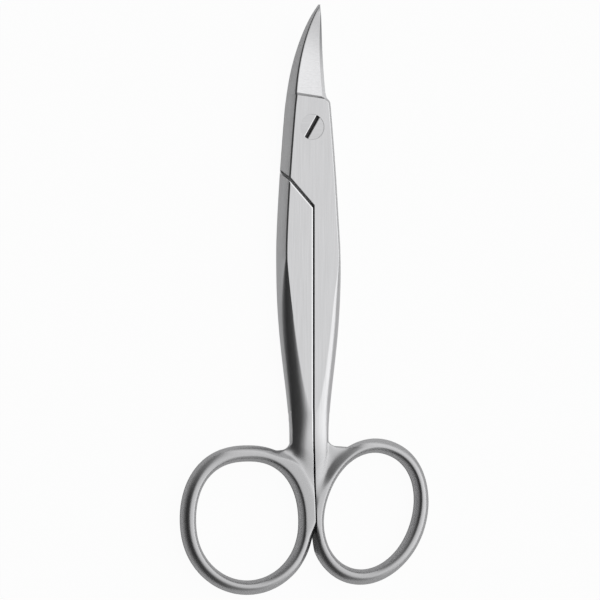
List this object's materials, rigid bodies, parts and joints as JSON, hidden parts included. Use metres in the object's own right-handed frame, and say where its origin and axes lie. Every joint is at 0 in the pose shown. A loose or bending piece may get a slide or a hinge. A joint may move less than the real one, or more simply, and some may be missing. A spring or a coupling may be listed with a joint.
{
  "type": "nail scissors",
  "caption": "Curved nail scissors with oval finger rings, whose steel halves turn on a flush slotted screw.",
  "frame": {"origin": "on the pivot's axis, in the plane of the flat back faces that the closed scissors lie on", "axes": "+Y from the rings to the tips, +Z out of the front, which the slotted head is on and the tips curve towards, +X towards the finger ring"},
  "size_m": [0.0472, 0.1053, 0.0075],
  "materials": {
    "satin_steel": "satin, finely brushed",
    "screw_steel": "satin, finely brushed"
  },
  "bodies": {
    "back": {"back_half": "satin_steel", "pivot_screw": "screw_steel"},
    "front": {"front_half": "satin_steel"}
  },
  "joints": [
    {"name": "pivot_turn", "type": "hinge", "parent": "back", "child": "front", "pos_m": [0, 0, 0], "axis": [0, 0, 1], "range_deg": [0, 100]}
  ]
}
